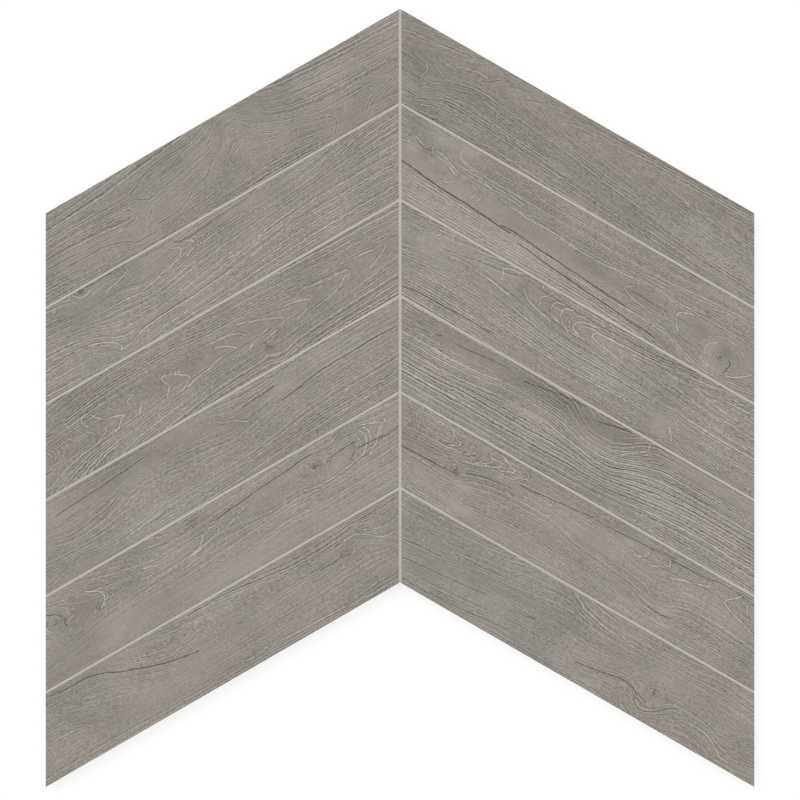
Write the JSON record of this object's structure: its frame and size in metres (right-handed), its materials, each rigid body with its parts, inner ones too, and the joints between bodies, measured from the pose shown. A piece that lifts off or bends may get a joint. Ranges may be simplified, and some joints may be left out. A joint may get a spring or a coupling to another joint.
{
  "type": "porcelain chevron mosaic tile sheet",
  "caption": "Chevron mosaic sheet of grey wood-look porcelain: slanted plank tiles in two mirrored columns, held together by pale joint filling, to cover a floor or wall.",
  "frame": {"origin": "under the middle of the sheet's outline, on the plane that the ribs of the tile backs rest on", "axes": "+X across the sheet to the right column, +Y along the centre joint to the sheet's point, +Z out of the printed face"},
  "size_m": [0.3772, 0.4142, 0.009],
  "materials": {
    "porcelain": "matt, printed with grey oak grain",
    "joint_filling": "fine cement, tooled slightly hollow"
  },
  "bodies": {
    "root": {"tile_left_1": "porcelain", "tile_left_2": "porcelain", "tile_left_3": "porcelain", "tile_left_4": "porcelain", "tile_left_5": "porcelain", "tile_left_6": "porcelain", "tile_right_1": "porcelain", "tile_right_2": "porcelain", "tile_right_3": "porcelain", "tile_right_4": "porcelain", "tile_right_5": "porcelain", "tile_right_6": "porcelain", "joint_filling": "joint_filling"}
  },
  "joints": []
}
